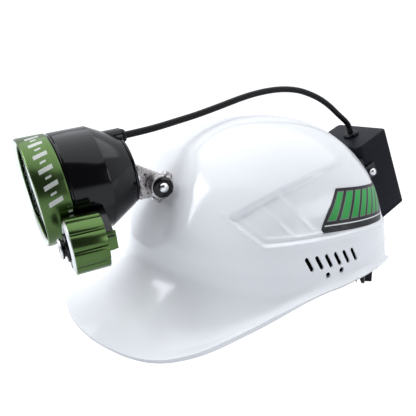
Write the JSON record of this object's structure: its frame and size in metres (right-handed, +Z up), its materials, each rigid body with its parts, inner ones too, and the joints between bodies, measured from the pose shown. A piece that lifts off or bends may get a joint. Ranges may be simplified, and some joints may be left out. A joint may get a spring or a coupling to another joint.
{
  "type": "miner's cap lamp",
  "caption": "Miner's cap lamp: a white bump cap with a tilting green-ringed lamp head in front, a battery box behind, and the cable that joins them over the crown.",
  "frame": {"origin": "on the ground plane under the middle of the object's bounding box, left to right and front to back, as it stands on its brim and nape strap", "axes": "+Z up, -Y to the front where the lamp shines, +X to the wearer's left"},
  "size_m": [0.216, 0.3388, 0.1715],
  "materials": {
    "white_shell": "gloss",
    "green_metal": "brushed green anodised",
    "black_metal": "gloss black anodised",
    "nickel": "dull nickel plate",
    "steel": "bright",
    "black_plastic": "satin",
    "box_plastic": "satin blue-black",
    "grey_plastic": "matte",
    "rubber": "satin",
    "foam": "matte",
    "lens": "clear",
    "mirror": "polished",
    "emitter": "clear yellow",
    "circuit_board": "satin",
    "aluminium": "plain",
    "cell": "shrink sleeve",
    "decal": "printed film"
  },
  "bodies": {
    "cap": {"cap_shell": "white_shell", "headband": "grey_plastic", "brow_pad": "foam", "nape_strap": "grey_plastic", "nape_pad": "foam", "ratchet_housing": "black_plastic", "crown_strap_long": "grey_plastic", "crown_strap_cross": "grey_plastic", "suspension_key_front": "black_plastic", "suspension_key_back": "black_plastic", "suspension_key_left": "black_plastic", "suspension_key_right": "black_plastic", "side_decal_left": "decal", "side_decal_right": "decal", "bracket_foot": "nickel", "foot_screw_upper": "steel", "foot_nut_upper": "steel", "foot_screw_lower": "steel", "foot_nut_lower": "steel", "power_cable": "rubber", "battery_case": "box_plastic", "battery_lid": "box_plastic", "lid_screw_a": "steel", "lid_screw_b": "steel", "lid_screw_c": "steel", "lid_screw_d": "steel", "charge_socket": "steel", "battery_cell_left": "cell", "battery_cell_right": "cell", "protection_board": "circuit_board", "box_grommet": "rubber", "box_bracket": "black_plastic", "bracket_cap_nut_left": "steel", "bracket_cap_nut_right": "steel", "box_screw_upper": "steel", "box_screw_lower": "steel"},
    "lamp_head": {"tilt_fork": "nickel", "pivot_bolt": "steel", "friction_washer": "steel", "lamp_body": "black_metal", "rear_cover": "black_metal", "cable_gland": "rubber", "cover_screw_left": "steel", "cover_screw_right": "steel", "bezel": "green_metal", "front_lens": "lens", "lens_gasket": "rubber", "reflector": "mirror", "led_emitter": "emitter", "led_board": "circuit_board", "heat_sink": "aluminium", "driver_board": "circuit_board", "selector_shaft": "steel", "selector_arm": "black_metal", "arm_cover": "green_metal"},
    "selector": {"selector_knob": "green_metal", "index_disc": "steel"},
    "thumb_nut": {"thumb_nut": "black_metal"},
    "ratchet_knob": {"ratchet_knob": "black_plastic"},
    "charge_cap": {"charge_cap": "rubber"}
  },
  "joints": [
    {"name": "head_tilt", "type": "hinge", "parent": "cap", "child": "lamp_head", "pos_m": [0, -0.083, 0.09887], "axis": [1, 0, 0], "range_deg": [-30, 20], "deforming": ["power_cable"]},
    {"name": "selector_turn", "type": "hinge", "parent": "lamp_head", "child": "selector", "pos_m": [0.0475, -0.14011, 0.07429], "axis": [0.0699, 0.9877, 0.1398], "range_deg": [0, 270]},
    {"name": "thumb_nut_turn", "type": "hinge", "parent": "lamp_head", "child": "thumb_nut", "pos_m": [0, -0.083, 0.09887], "axis": [1, 0, 0], "range_deg": [0, 360]},
    {"name": "ratchet_turn", "type": "hinge", "parent": "cap", "child": "ratchet_knob", "pos_m": [0, 0.12724, 0.00958], "axis": [0, 0.9995, 0.0321], "range_deg": [-270, 270]},
    {"name": "charge_cap_swing", "type": "hinge", "parent": "cap", "child": "charge_cap", "pos_m": [-0.023, 0.1525, 0.05808], "axis": [0, 0.8867, 0.4624], "range_deg": [0, 100]}
  ]
}
